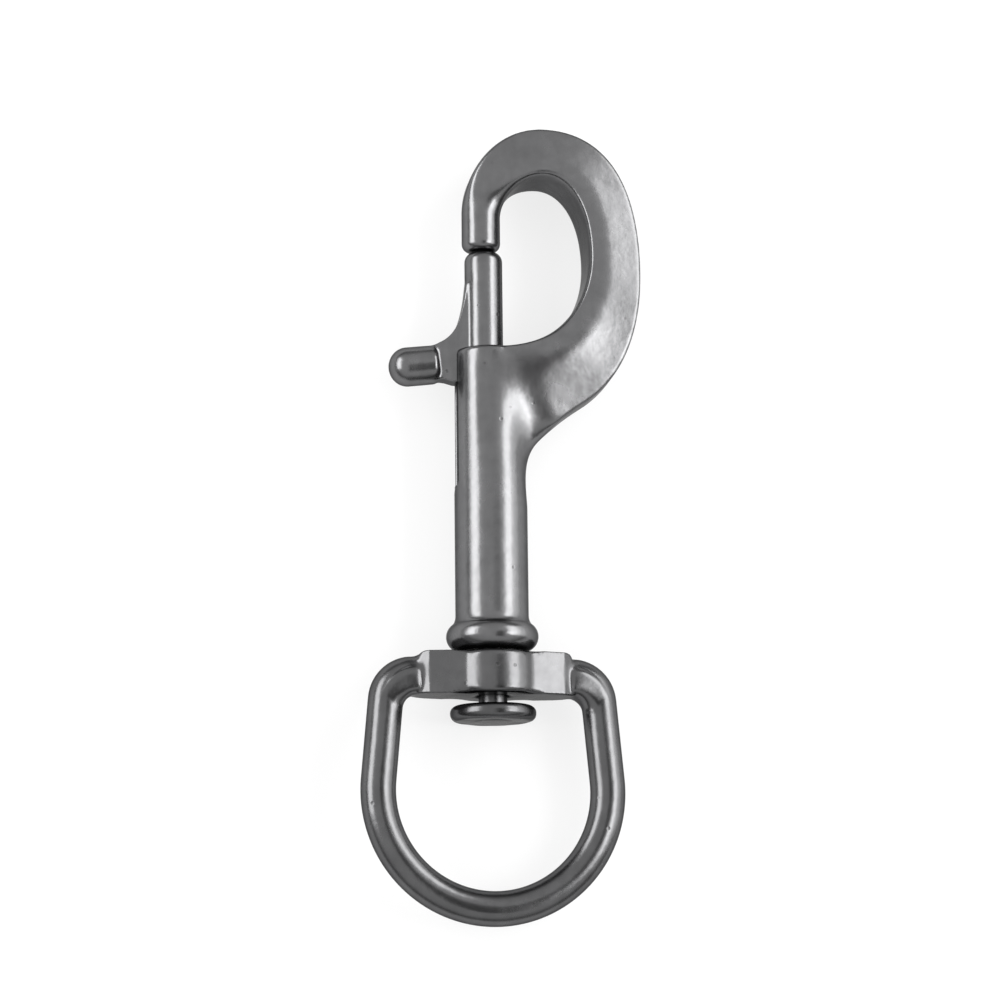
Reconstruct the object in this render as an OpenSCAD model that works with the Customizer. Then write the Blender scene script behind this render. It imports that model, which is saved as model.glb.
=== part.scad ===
// Swivel snap hook. Lengths are in millimetres.
// +Y runs up the barrel from the strap eye to the hook, +X points to the hook's side and
// +Z away from the surface it lies on. The origin is where a strap bears in the eye.

/* [Strap eye] */
// Inside radius of the bow that the strap bears on
eye_inner_r = 13; // [11:0.05:18]
// Diameter of the eye's wire
eye_wire_d = 4.65; // [3.5:0.05:6]
// Lean of the eye's straight limbs, in towards the hub, in degrees
eye_limb_lean = 5.2; // [3:0.1:9]
// Bend radius of the wire's middle at the eye's shoulders
eye_corner_r = 3.6; // [3:0.1:5.5]
// Clear length from the strap to the rivet's head
eye_room = 22; // [18:0.1:30]
// Swing of the eye round the rivet as it lies, in degrees
eye_swing = 4.5; // [0:0.5:8]

/* [Swivel] */
// Diameter of the eye's hub
hub_d = 12.2; // [10:0.1:14]
// Height of the hub along the swivel axis
hub_h = 5.65; // [5.2:0.05:9]
// Rounding of the hub's rims
hub_rim_r = 0.7; // [0.2:0.1:1.5]
// Half length of the lugs that carry the wire, from the swivel axis
lug_reach = 10.6; // [9.5:0.1:12]
// Half depth of the lugs where they leave the hub
lug_root_z = 4; // [3.2:0.1:5]
// Half depth of the lugs' flats next to the wire
lug_tip_z = 3.1; // [2.6:0.1:3.6]
// Rounding of the lugs' upper corners, seen from the front
lug_corner_r = 1.4; // [0.5:0.1:2]
// Fillet under the lugs, where they turn into the eye's limbs
lug_fillet_r = 1.9; // [0.8:0.1:2.4]
// Diameter of the rivet's head
rivet_head_d = 11.4; // [9:0.1:13]
// Height of the rivet's head
rivet_head_h = 2.1; // [1.6:0.1:4]
// Diameter of the rivet's shank
rivet_shank_d = 3.8; // [3:0.1:4]
// Height of the upset end inside the bore
rivet_upset_h = 1.6; // [1:0.1:3]
// Radial running clearance of the hub on the rivet
swivel_fit = 0.08; // [0.03:0.01:0.1]
// Axial play of the hub between the rivet's head and the collar
swivel_play = 1.55; // [0.6:0.05:2.2]
// Part of that play left at the collar when the eye is pushed home
collar_gap = 0.3; // [0.1:0.05:0.5]

/* [Barrel] */
// Outside diameter of the barrel
barrel_d = 9.7; // [9:0.05:12]
// Length of the barrel above its collar
barrel_len = 36.65; // [32:0.05:45]
// Rounding of the barrel's mouth
barrel_rim_r = 0.7; // [0.2:0.1:1.2]
// Diameter of the collar bead
collar_d = 12.2; // [10.5:0.05:14]
// Height of the collar bead
collar_h = 3.9; // [2.5:0.1:5]
// Radius of the sweep from the barrel out to the collar
collar_sweep_r = 2; // [1:0.1:3]
// Width of that sweep
collar_sweep_w = 0.35; // [0.1:0.05:0.4]
// Distance from the barrel's axis to the bore's, away from the hook
bore_offset = 0.7; // [0:0.05:0.8]
// Thickness of the floor between the collar's face and the bore
bore_floor = 4.8; // [3.5:0.1:8]
// Length of the slot that the thumb knob's web slides in
slot_len = 19.1; // [14:0.1:22]

/* [Hook] */
// Clear width of the hook between the bolt and the far limb
jaw_w = 11.35; // [9:0.05:16]
// Clear height from the barrel's mouth to the inside of the bow
jaw_h = 23.65; // [20:0.05:30]
// Mouth that the bolt closes, from the barrel to the nose
mouth_h = 13.8; // [11:0.05:15]
// Width of the far limb, seen from the front
limb_w = 7; // [5:0.05:8]
// Width of the bow at its top
bow_w = 6.65; // [4.5:0.05:7.5]
// Diameter of the nose
nose_d = 5.2; // [4:0.05:6]
// Rounding of the nose's end
nose_rim_r = 1.1; // [0.2:0.1:1.2]
// Distance that the nose sits outside the bolt's axis
nose_set = 0.3; // [0:0.05:0.4]
// Thickness of the hook, front to back
hook_t = 9; // [7:0.1:9.8]
// Share of the limb's width, from its inside, at which it is thickest
crown = 0.2; // [0.1:0.05:0.5]
// Share of the hook's thickness lost between its crown and its outside
taper = 0.4; // [0:0.05:0.6]
// Thickness of the shoulder where it leaves the barrel
shoulder_t = 9.4; // [8:0.1:9.8]
// Length of the shoulder along the barrel
shoulder_len = 17.7; // [14:0.1:22]

/* [Bolt and spring] */
// Diameter of the bolt's rod
rod_d = 5.1; // [4:0.1:5.4]
// Length of the rod
rod_len = 25.4; // [22:0.1:30]
// Rounding of the rod's tip
rod_tip_r = 1.4; // [0.2:0.1:1.6]
// Radial clearance of the rod in the bore
rod_fit = 0.1; // [0.05:0.01:0.15]
// Clearance between the rod's tip and the nose
tip_gap = 0.1; // [0.05:0.05:0.3]
// Thickness of the web between rod and knob
web_t = 2.6; // [1.8:0.1:3.4]
// Clearance on each side of the web in its slot
web_fit = 0.15; // [0.1:0.05:0.3]
// Height of the web below the barrel's mouth
web_drop = 4.5; // [3.5:0.1:6]
// Rise of the web's lower edge next to the knob
web_rise = 0.35; // [0:0.05:0.6]
// Height of the flare from the knob up the rod
flare_h = 8.6; // [6:0.1:11]
// Diameter of the thumb knob
knob_d = 5.25; // [4.5:0.05:6.5]
// Tilt of the thumb knob's axis, its end towards the strap eye, in degrees
knob_tilt = 6; // [0:0.5:8]
// Reach of the thumb knob from the barrel's axis
knob_reach = 13.6; // [12:0.1:17]
// Length of the thumb knob
knob_len = 6.5; // [5:0.1:7]
// Diameter of the spring's wire
spring_wire_d = 0.6; // [0.4:0.05:0.8]
// Outside diameter of the spring
spring_d = 4.6; // [3.8:0.1:5]
// Number of the spring's coils
spring_coils = 12; // [8:1:14]

/* [Hidden] */
$fn = 64;
STEEL = [0.36, 0.36, 0.37];
BRIGHT = [0.62, 0.62, 0.62];
EPS = 0.02;

// Stations up the swivel axis, from the strap to the bow
head_y = eye_room;
hub_y = head_y + rivet_head_h + swivel_play - collar_gap;
collar_y = hub_y + hub_h + collar_gap;
barrel_y = collar_y + collar_h;
mouth_y = barrel_y + barrel_len;
bore_y = collar_y + bore_floor;
spring_y = bore_y + rivet_upset_h;
nose_y = mouth_y + mouth_h;
bow_y = mouth_y + jaw_h;
slot_y = mouth_y - slot_len;

// Swivel eye
eye_wire_r = eye_wire_d / 2;
eye_mid_r = eye_inner_r + eye_wire_r;
hub_r = hub_d / 2;
collar_r = collar_d / 2;

// Barrel, bolt and bore share one axis line beside the barrel's own
barrel_r = barrel_d / 2;
rod_x = -bore_offset;
rod_r = rod_d / 2;
bore_r = rod_r + rod_fit;
rod_top_y = nose_y - tip_gap;
rod_end_y = rod_top_y - rod_len;
web_y = mouth_y - web_drop;
knob_r = knob_d / 2;
knob_y = web_y + knob_r;
knob_root_x = -knob_reach + knob_len;

// Hook outline: x of its two sides, inside and outside
jaw_in_x = rod_x + rod_r;
jaw_out_x = jaw_in_x + jaw_w;
limb_x = jaw_out_x + limb_w;
nose_x = rod_x - nose_set;
nose_r = nose_d / 2;
bow_x = jaw_in_x + jaw_w * 0.45;

// Turns a shape made upright so that it stands along the barrel
module along_y() {
  rotate([-90, 0, 0]) children();
}

// Point at share t of a cubic curve with two end points and two handles
function curve(p, t) =
  pow(1 - t, 3) * p[0] + 3 * t * pow(1 - t, 2) * p[1] + 3 * t * t * (1 - t) * p[2] + pow(t, 3) * p[3];
function blend(a, b, t) = a + (b - a) * t;
function ease(t) = t * t * (3 - 2 * t);
function signed_pow(v, n) = sign(v) * pow(abs(v), n);

// Share of a quarter bend's side at which a cubic curve's handle makes it round
ROUND = 0.552;

// Inside and outside of the shoulder, the sweep, the far bow and the near bow
side_in_y = mouth_y + jaw_h * 0.54;
side_out_y = mouth_y + jaw_h * 0.45;
turn_in_y = bow_y - (bow_x - nose_x - nose_r);
turn_out_y = bow_y + bow_w - 1.1 * (bow_x - nose_x + nose_r);
sweep = [limb_x - 7.7, mouth_y - 7.2];
sweep_slope = [1.7, 1.1];
inner_sweep = [
  [jaw_out_x, side_in_y],
  [jaw_out_x, side_in_y - 6.6],
  [barrel_r + 4.2, mouth_y + 0.45],
  [barrel_r - 3.2, mouth_y + 0.2]
];
outer_sweep = [
  [limb_x, side_out_y],
  [limb_x, side_out_y - 9],
  sweep + 2.8 * sweep_slope,
  sweep
];
outer_fillet = [
  sweep,
  sweep - 2 * sweep_slope,
  [barrel_r, mouth_y - shoulder_len + 5],
  [barrel_r, mouth_y - shoulder_len]
];
inner_far = [
  [bow_x, bow_y],
  [bow_x + 3.7, bow_y],
  [jaw_out_x, blend(side_in_y, bow_y, 0.6)],
  [jaw_out_x, side_in_y]
];
outer_far = [
  [bow_x, bow_y + bow_w],
  [bow_x + 8.2, bow_y + bow_w],
  [limb_x, blend(side_out_y, bow_y + bow_w, 0.68)],
  [limb_x, side_out_y]
];
inner_near = [
  [nose_x + nose_r, turn_in_y],
  [nose_x + nose_r, blend(turn_in_y, bow_y, ROUND)],
  [blend(bow_x, nose_x + nose_r, ROUND), bow_y],
  [bow_x, bow_y]
];
outer_near = [
  [nose_x - nose_r, turn_out_y],
  [nose_x - nose_r, blend(turn_out_y, bow_y + bow_w, ROUND)],
  [blend(bow_x, nose_x - nose_r, ROUND), bow_y + bow_w],
  [bow_x, bow_y + bow_w]
];

// A station of the hook: inside point, outside point, half thickness, how square its section
// is on the inside and on the outside (2 is round), the share of its width at its crown and
// the share of its thickness lost from there to the outside
inner_split = 0.62;
half_t = hook_t / 2;
root_t = shoulder_t / 2;
ring_steps = 12;
root_stations = [
  [
    [barrel_r * 0.2, mouth_y - barrel_rim_r],
    [barrel_r * 0.2, mouth_y - shoulder_len],
    root_t,
    14,
    1.1,
    0.5,
    0
  ]
];
shoulder_stations = [
  for (i = [0:ring_steps - 1])
    let (t = i / ring_steps)
      [
        curve(inner_sweep, blend(1, inner_split, t)),
        curve(outer_fillet, 1 - t),
        blend(root_t, half_t, ease(t)),
        blend(14, 7, ease(t)),
        blend(1.1, 6, ease(t)),
        blend(0.5, crown, ease(t)),
        taper * ease(t)
      ]
];
sweep_stations = [
  for (i = [0:ring_steps - 1])
    let (t = i / ring_steps)
      [curve(inner_sweep, inner_split * (1 - t)), curve(outer_sweep, 1 - t), half_t, 7, 6, crown, taper]
];
far_stations = [
  for (i = [0:ring_steps - 1])
    let (t = i / ring_steps)
      [curve(inner_far, 1 - t), curve(outer_far, 1 - t), half_t, 7, 6, crown, taper]
];
near_stations = [
  for (i = [0:ring_steps - 1])
    let (t = i / ring_steps)
      [
        curve(inner_near, 1 - t),
        curve(outer_near, 1 - t),
        blend(half_t, nose_r, ease(t)),
        blend(7, 2, ease(t)),
        blend(6, 2, ease(t)),
        blend(crown, 0.5, ease(t)),
        taper * (1 - ease(t))
      ]
];
nose_stations = [
  for (a = [0:15:90])
    let (r = nose_r - nose_rim_r * (1 - cos(a)), y = nose_y + nose_rim_r * (1 - sin(a)))
      [[nose_x + r, y], [nose_x - r, y], r, 2, 2, 0.5, 0]
];
hook_stations = concat(
  root_stations, shoulder_stations, sweep_stations, far_stations, near_stations, nose_stations
);

// Ring of points round one station
ring_points = 36;
function section(s) =
  let (mid = blend(s[0], s[1], s[5]))
    [
      for (i = [0:ring_points - 1])
        let (
          a = 360 * i / ring_points,
          inner = cos(a) < 0,
          n = 2 / (inner ? s[3] : s[4]),
          share = pow(abs(cos(a)), n),
          p = blend(mid, inner ? s[0] : s[1], share),
          lost = inner ? 0 : s[6] * pow(share, 1.5)
        )
          [p[0], p[1], s[2] * (1 - lost) * signed_pow(sin(a), n)]
    ];

// Closed skin through rings of equal count, one after the other
module loft(rings) {
  count = len(rings[0]);
  last = len(rings) - 1;
  points = [for (r = rings) for (p = r) p];
  sides = [
    for (i = [0:last - 1], j = [0:count - 1])
      let (k = (j + 1) % count)
        [i * count + j, i * count + k, (i + 1) * count + k, (i + 1) * count + j]
  ];
  first_cap = [for (j = [count - 1:-1:0]) j];
  last_cap = [for (j = [0:count - 1]) last * count + j];
  polyhedron(points = points, faces = concat([first_cap], sides, [last_cap]), convexity = 6);
}

// Upright disc with both rims rounded
module rounded_disc(r, h, rim) {
  rotate_extrude() {
    difference() {
      square([r, h]);
      translate([r - rim, 0]) rim_cut(rim);
      translate([r - rim, h]) mirror([0, 1]) rim_cut(rim);
    }
  }
}

// What a rounding takes off the square corner at the lower right
module rim_cut(rim) {
  difference() {
    translate([0, -EPS]) square([rim + EPS, rim + EPS]);
    translate([0, rim]) circle(rim);
  }
}

// Barrel with its rounded mouth, swept into the collar bead
module barrel_blank() {
  bead_r = collar_h / 2;
  bead_x = collar_r - bead_r;
  foot_x = barrel_r + collar_sweep_w;
  foot_y = bead_r + sqrt(bead_r ^ 2 - (foot_x - bead_x) ^ 2);
  sweep_h = sqrt(collar_sweep_r ^ 2 - (collar_sweep_r - collar_sweep_w) ^ 2);
  rotate_extrude() {
    difference() {
      translate([0, bead_r]) square([barrel_r, collar_h - bead_r + barrel_len]);
      translate([barrel_r - barrel_rim_r, collar_h + barrel_len]) mirror([0, 1]) rim_cut(barrel_rim_r);
    }
    square([bead_x, collar_h]);
    translate([bead_x, bead_r]) circle(bead_r);
    difference() {
      translate([0, bead_r]) square([foot_x, foot_y - bead_r + sweep_h]);
      translate([barrel_r + collar_sweep_r, foot_y + sweep_h]) circle(collar_sweep_r);
    }
  }
}

// Round-ended slot through the barrel's wall, open at the mouth
module slot_cut() {
  width = web_t + 2 * web_fit;
  reach = barrel_r + 1;
  translate([rod_x, slot_y + width / 2, 0]) rotate([0, -90, 0]) linear_extrude(reach) {
    circle(d = width);
    translate([-width / 2, 0]) square([width, slot_len + 1]);
  }
}

module hook_body() {
  color(STEEL) difference() {
    union() {
      translate([0, collar_y, 0]) along_y() barrel_blank();
      loft([for (s = hook_stations) section(s)]);
    }
    translate([rod_x, bore_y, 0]) along_y() cylinder(r = bore_r, h = mouth_y - bore_y + 1);
    translate([0, collar_y - 1, 0]) along_y() cylinder(d = rivet_shank_d + EPS, h = bore_floor + 2);
    slot_cut();
  }
}

// Web from the rod out to the knob, with its concave flare up the rod
module web_outline() {
  flare_top = knob_y + knob_r + flare_h;
  flare = [
    [rod_x - rod_r + EPS, flare_top],
    [rod_x - rod_r - 0.5, flare_top - flare_h * 0.7],
    [knob_root_x + 2.2, knob_y + knob_r + 0.6],
    [knob_root_x - 1, knob_y + knob_r - 0.3]
  ];
  polygon(concat(
    [for (i = [0:16]) curve(flare, i / 16)],
    [
      [knob_root_x - 1, web_y + web_rise],
      [knob_root_x + 1, web_y + web_rise],
      [-barrel_r, web_y],
      [rod_x, web_y],
      [rod_x, flare_top]
    ]
  ));
}

// Thumb knob: a round stub with a domed end, lying across the barrel
module knob() {
  dome = knob_r * 0.95;
  translate([knob_root_x, knob_y, 0]) rotate([0, -90, knob_tilt]) rotate_extrude() {
    difference() {
      square([knob_r, knob_len - dome]);
      translate([knob_r - 0.6, 0]) rim_cut(0.6);
    }
    translate([0, knob_len - dome]) difference() {
      circle(r = knob_r);
      translate([-2 * knob_r, -2 * knob_r]) square([2 * knob_r, 4 * knob_r]);
      translate([-EPS, -2 * knob_r]) square([4 * knob_r, 2 * knob_r]);
      translate([-EPS, dome]) square([4 * knob_r, 2 * knob_r]);
    }
  }
}

module bolt() {
  color(STEEL) {
    translate([rod_x, rod_end_y, 0]) along_y() rounded_disc(rod_r, rod_len, rod_tip_r);
    translate([0, 0, -web_t / 2]) linear_extrude(web_t) web_outline();
    knob();
  }
}

// Coil spring from its seat on the rivet up to the rod, as a swept round wire
module spring() {
  wire_r = spring_wire_d / 2;
  coil_r = spring_d / 2 - wire_r;
  low_y = spring_y + wire_r + EPS;
  high_y = rod_end_y - wire_r - EPS;
  steps = 20 * spring_coils;
  sides = 8;
  rise = (high_y - low_y) / spring_coils / (2 * PI * coil_r);
  lean = atan(rise);
  rings = [
    for (i = [0:steps])
      let (
        a = 360 * spring_coils * i / steps,
        out = [cos(a), 0, sin(a)],
        up = [-sin(a) * -sin(lean), cos(lean), cos(a) * -sin(lean)],
        mid = [rod_x, low_y + (high_y - low_y) * i / steps, 0] + coil_r * out
      )
        [for (j = [0:sides - 1]) mid + wire_r * (cos(360 * j / sides) * out + sin(360 * j / sides) * up)]
  ];
  color(BRIGHT) loft(rings);
}

module swivel_rivet() {
  shank_h = spring_y - head_y - rivet_upset_h + EPS;
  color(STEEL) {
    translate([0, head_y, 0]) along_y() rounded_disc(rivet_head_d / 2, rivet_head_h, rivet_head_h * 0.45);
    translate([0, head_y + rivet_head_h / 2, 0]) along_y()
      cylinder(d = rivet_shank_d, h = shank_h - rivet_head_h / 2);
    translate([rod_x, bore_y, 0]) along_y() cylinder(r = bore_r - EPS, h = rivet_upset_h);
  }
}

// Middle line of the eye's wire, from one lug round the bow to the other: each place with the
// direction, in degrees, that points straight out of the bend there
corner_y = hub_y + hub_h / 2;
bend_y = corner_y - eye_corner_r;
limb_len = (bend_y - eye_inner_r) / cos(eye_limb_lean) + (eye_corner_r - eye_mid_r) * tan(eye_limb_lean);
bend_x = (eye_mid_r - eye_corner_r) * cos(eye_limb_lean) - limb_len * sin(eye_limb_lean);
function wire_stop(mid, r, a) = [mid + r * [cos(a), sin(a)], a];
wire_stops = concat(
  [[[-hub_r + 1, corner_y], 90]],
  [for (i = [0:8]) wire_stop([-bend_x, bend_y], eye_corner_r, blend(90, 180 - eye_limb_lean, i / 8))],
  [
    for (i = [0:36])
      wire_stop([0, eye_inner_r], eye_mid_r, blend(180 - eye_limb_lean, 360 + eye_limb_lean, i / 36))
  ],
  [for (i = [0:8]) wire_stop([bend_x, bend_y], eye_corner_r, blend(eye_limb_lean, 90, i / 8))],
  [[[hub_r - 1, corner_y], 90]]
);
wire_sides = 24;
module eye_wire() {
  loft([
    for (s = wire_stops)
      [
        for (j = [0:wire_sides - 1])
          let (a = 360 * j / wire_sides, p = s[0] + eye_wire_r * cos(a) * [cos(s[1]), sin(s[1])])
            [p[0], p[1], eye_wire_r * sin(a)]
      ]
  ]);
}

// Lugs seen along the swivel axis: flats that fall back in facets from hub to wire
module lug_outline() {
  side = [
    [lug_reach, eye_wire_r * 0.85],
    [lug_reach - 1.6, lug_tip_z],
    [hub_r * 0.82, lug_root_z]
  ];
  right = concat(side, [for (i = [len(side) - 1:-1:0]) [side[i][0], -side[i][1]]]);
  polygon(right);
  mirror([1, 0]) polygon(right);
  square([2 * hub_r - 2, 2 * lug_tip_z], center = true);
}

// The lugs' outline from the front, with rounded upper corners
module lug_front() {
  low_y = hub_y + EPS;
  high_y = hub_y + hub_h - EPS;
  polygon([
    [-lug_reach - 1, low_y],
    [lug_reach + 1, low_y],
    for (a = [0:15:90])
      [lug_reach - lug_corner_r * (1 - cos(a)), high_y - lug_corner_r * (1 - sin(a))],
    for (a = [90:-15:0])
      [-lug_reach + lug_corner_r * (1 - cos(a)), high_y - lug_corner_r * (1 - sin(a))]
  ]);
}

// Fillet from the right lug's underside into the limb: the wire's section, growing to the lug's
module lug_fillet() {
  steps = 9;
  reach = 1.7 * eye_wire_r;
  limb_out = [cos(eye_limb_lean), sin(eye_limb_lean)];
  limb_in = [bend_x, bend_y] * limb_out + eye_corner_r - eye_wire_r;
  mid_y = hub_y - lug_fillet_r + 3 * EPS;
  mid_x = (limb_in - lug_fillet_r - mid_y * limb_out[1]) / limb_out[0];
  loft([
    for (i = [0:steps])
      let (
        a = blend(eye_limb_lean - 12, 90, i / steps),
        grown = ease(i / steps),
        out = [cos(a), sin(a)],
        tuck = i == 0 ? 5 * EPS : 0,
        p = [mid_x, mid_y] + (lug_fillet_r + tuck) * out
      )
        section([
          p,
          p + reach * out,
          blend(eye_wire_r * 0.95, lug_tip_z * 0.9, grown),
          blend(2, 4, grown),
          4,
          0.5,
          0
        ])
  ]);
}

module swivel_eye() {
  color(STEEL) rotate([0, eye_swing, 0]) difference() {
    union() {
      translate([0, hub_y, 0]) along_y() rounded_disc(hub_r, hub_h, hub_rim_r);
      intersection() {
        translate([0, hub_y, 0]) along_y() linear_extrude(hub_h) lug_outline();
        translate([0, 0, -hub_r]) linear_extrude(2 * hub_r) lug_front();
      }
      eye_wire();
      lug_fillet();
      mirror([1, 0, 0]) lug_fillet();
    }
    translate([0, hub_y - 1, 0]) along_y() cylinder(d = rivet_shank_d + 2 * swivel_fit, h = hub_h + 2);
  }
}

hook_body();
bolt();
spring();
swivel_rivet();
swivel_eye();
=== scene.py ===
"""Swivel snap hook in polished dark nickel: its detailed pieces, finishes and studio.

Lengths in the classes are millimetres and meshes are made in metres. +Y runs up the barrel from
the strap eye to the hook, +X points to the hook's side and +Z away from the floor.
"""

import logging
import math
from dataclasses import dataclass, field
from enum import Enum
from typing import Iterator, Sequence

import bmesh
import bpy
import numpy as np
from mathutils import Matrix, Vector, noise
from mathutils.bvhtree import BVHTree


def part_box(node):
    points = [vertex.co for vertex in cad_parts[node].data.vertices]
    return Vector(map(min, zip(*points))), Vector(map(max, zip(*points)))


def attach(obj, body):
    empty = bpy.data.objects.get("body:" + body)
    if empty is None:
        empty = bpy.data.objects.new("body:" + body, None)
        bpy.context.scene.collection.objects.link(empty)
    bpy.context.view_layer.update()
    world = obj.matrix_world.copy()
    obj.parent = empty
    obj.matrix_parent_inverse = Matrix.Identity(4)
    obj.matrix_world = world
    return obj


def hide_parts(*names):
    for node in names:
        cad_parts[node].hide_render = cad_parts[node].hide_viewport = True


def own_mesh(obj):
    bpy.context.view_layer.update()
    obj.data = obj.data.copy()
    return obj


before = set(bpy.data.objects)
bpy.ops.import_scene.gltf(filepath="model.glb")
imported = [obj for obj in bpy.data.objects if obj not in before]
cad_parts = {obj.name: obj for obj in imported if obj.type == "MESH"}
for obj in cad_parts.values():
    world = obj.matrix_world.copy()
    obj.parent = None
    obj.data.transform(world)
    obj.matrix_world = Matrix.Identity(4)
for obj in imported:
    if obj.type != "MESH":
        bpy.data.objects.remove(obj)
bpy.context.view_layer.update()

MM = 0.001
POLE_R = 0.01  # Radius of the small cap that closes a turned form on its axis.
ROUND = 2.0  # Squareness of a round section.
CIRCLE_HANDLE = 0.552  # Handle length that makes a cubic curve a quarter circle.
log = logging.getLogger("snap_hook")

Point = Sequence[float]


class Slot(Enum):
    """Material slots of the record, one for each kind of piece."""

    BODY = "dark_nickel_body"
    BOLT = "dark_nickel_bolt"
    RIVET = "dark_nickel_rivet"
    EYE = "dark_nickel_eye"
    SPRING = "spring_wire"


class Cut(Enum):
    """Ways in which one closed skin is combined with another."""

    JOIN = "UNION"
    TAKE_OFF = "DIFFERENCE"
    KEEP_COMMON = "INTERSECT"


def corners(node: str) -> tuple[np.ndarray, np.ndarray]:
    """Lowest and highest corner of a CAD node.

    Args:
        node: Name of the node.

    Returns:
        The two corners in millimetres.
    """
    low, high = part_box(node)
    return np.array(low) / MM, np.array(high) / MM


def smooth_step(value: np.ndarray | float) -> np.ndarray | float:
    """Eased share of each value, held between 0 and 1."""
    held = np.clip(value, 0.0, 1.0)
    return held * held * (3.0 - 2.0 * held)


def ease(share: float) -> float:
    """Eased share of one value, held between 0 and 1."""
    return float(smooth_step(share))


def mix(start: float | np.ndarray, end: float | np.ndarray, share: float) -> float | np.ndarray:
    """Value or place at a share of the way from start to end."""
    return start + (end - start) * share


def heading(angle: float) -> np.ndarray:
    """Unit vector in the XY plane at an angle in degrees from +X."""
    return np.array([math.cos(math.radians(angle)), math.sin(math.radians(angle))])


def cubic(points: Sequence[Point], share: float) -> np.ndarray:
    """Point on a cubic curve.

    Args:
        points: Start, two handles and end.
        share: Share of the curve, from 0 to 1.

    Returns:
        The point.
    """
    rest = 1.0 - share
    weights = (rest**3, 3 * share * rest**2, 3 * share**2 * rest, share**3)
    return sum(w * np.array(p, float) for w, p in zip(weights, points))


def arc(centre: Point, radius: float, start: float, end: float, steps: int) -> list[tuple[float, float]]:
    """Points of a circular arc.

    Args:
        centre: Middle of the arc.
        radius: Its radius.
        start: First angle in degrees.
        end: Last angle in degrees.
        steps: Number of intervals.

    Returns:
        The points from start to end.
    """
    angles = np.radians(np.linspace(start, end, steps + 1))
    return [(centre[0] + radius * math.cos(a), centre[1] + radius * math.sin(a)) for a in angles]


def wall(radius: float, low: float, high: float, gap: float, rows: int) -> list[tuple[float, float]]:
    """Profile points up a turned wall, clear of the arcs at its ends by a gap."""
    return [(radius, y) for y in np.linspace(low + gap, high - gap, rows)]


def rounded_bar(
    low: float, high: float, radius: float, edge: float, steps: int, gap: float, rows: int
) -> list[tuple[float, float]]:
    """Profile of a turned bar with both ends rounded.

    Args:
        low: Height of its foot.
        high: Height of its head.
        radius: Its radius.
        edge: Radius of the rounded edges.
        steps: Number of intervals in each rounded edge.
        gap: Distance from a rounded edge to the first row of the wall.
        rows: Number of rows up the wall.

    Returns:
        The profile, from the axis at the foot to the axis at the head.
    """
    profile = [(POLE_R, low)] + arc((radius - edge, low + edge), edge, -90.0, 0.0, steps)
    profile += wall(radius, low + edge, high - edge, gap, rows)
    return profile + arc((radius - edge, high - edge), edge, 0.0, 90.0, steps) + [(POLE_R, high)]


def new_piece(name: str, points: np.ndarray, faces: Sequence[Sequence[int]]) -> bpy.types.Object:
    """Makes a mesh object with outward faces.

    Args:
        name: Name of the piece.
        points: Vertices in millimetres.
        faces: Vertex numbers of each face.

    Returns:
        The linked object.
    """
    mesh = bpy.data.meshes.new(name)
    mesh.from_pydata((points * MM).tolist(), [], [list(f) for f in faces])
    work = bmesh.new()
    work.from_mesh(mesh)
    bmesh.ops.recalc_face_normals(work, faces=work.faces)
    work.to_mesh(mesh)
    work.free()
    piece = bpy.data.objects.new(name, mesh)
    bpy.context.scene.collection.objects.link(piece)
    return piece


def skin(name: str, rings: np.ndarray) -> bpy.types.Object:
    """Makes a closed skin through rings, with a flat cap at each end.

    Args:
        name: Name of the piece.
        rings: Points by ring and place in the ring, in millimetres.

    Returns:
        The linked object.
    """
    last, count = len(rings) - 1, rings.shape[1]
    faces = [list(range(count))[::-1], [last * count + j for j in range(count)]]
    for i in range(last):
        for j in range(count):
            k = (j + 1) % count
            faces.append([i * count + j, i * count + k, (i + 1) * count + k, (i + 1) * count + j])
    return new_piece(name, rings.reshape(-1, 3), faces)


def revolve(name: str, profile: Sequence[Point], centre_x: float = 0.0, steps: int = 128) -> bpy.types.Object:
    """Turns a profile round an axis that runs along Y.

    Args:
        name: Name of the piece.
        profile: Radius and height of each point, from one end on the axis to the other.
        centre_x: Place of the axis.
        steps: Number of sides.

    Returns:
        The linked object.
    """
    angles = np.linspace(0.0, 2.0 * math.pi, steps, endpoint=False)
    rings = np.array(
        [[(centre_x + r * math.cos(a), y, r * math.sin(a)) for a in angles] for r, y in profile]
    )
    return skin(name, rings)


def pin(
    name: str,
    low: float,
    high: float,
    radius: float,
    centre_x: float = 0.0,
    steps: int = 64,
    pole_r: float = POLE_R,
) -> bpy.types.Object:
    """Plain round pin along Y, which also serves as a drill.

    Args:
        name: Name of the piece.
        low: Height of its foot.
        high: Height of its head.
        radius: Its radius.
        centre_x: Place of its axis.
        steps: Number of sides.
        pole_r: Radius of the small cap on its axis.

    Returns:
        The linked object.
    """
    profile = [(pole_r, low), (radius, low), (radius, high), (pole_r, high)]
    return revolve(name, profile, centre_x, steps)


def board(name: str, low: Point, high: Point, height: float) -> bpy.types.Object:
    """Makes a flat rectangle that faces up or down.

    Args:
        name: Name of the board.
        low: Its lowest corner in X and Y.
        high: Its highest corner in X and Y.
        height: Its height.

    Returns:
        The linked object.
    """
    edge = ((low[0], low[1]), (high[0], low[1]), (high[0], high[1]), (low[0], high[1]))
    return new_piece(name, np.array([(x, y, height) for x, y in edge]), [(0, 1, 2, 3)])


def extrude(name: str, outline: np.ndarray, half_depth: float) -> bpy.types.Object:
    """Extrudes an outline in the XY plane both ways along Z.

    Args:
        name: Name of the piece.
        outline: Points of the outline in order.
        half_depth: Reach of the piece in front of the plane and behind it.

    Returns:
        The linked object.
    """
    back = np.column_stack([outline, np.full(len(outline), -half_depth)])
    front = np.column_stack([outline, np.full(len(outline), half_depth)])
    return skin(name, np.array([back, front]))


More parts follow.
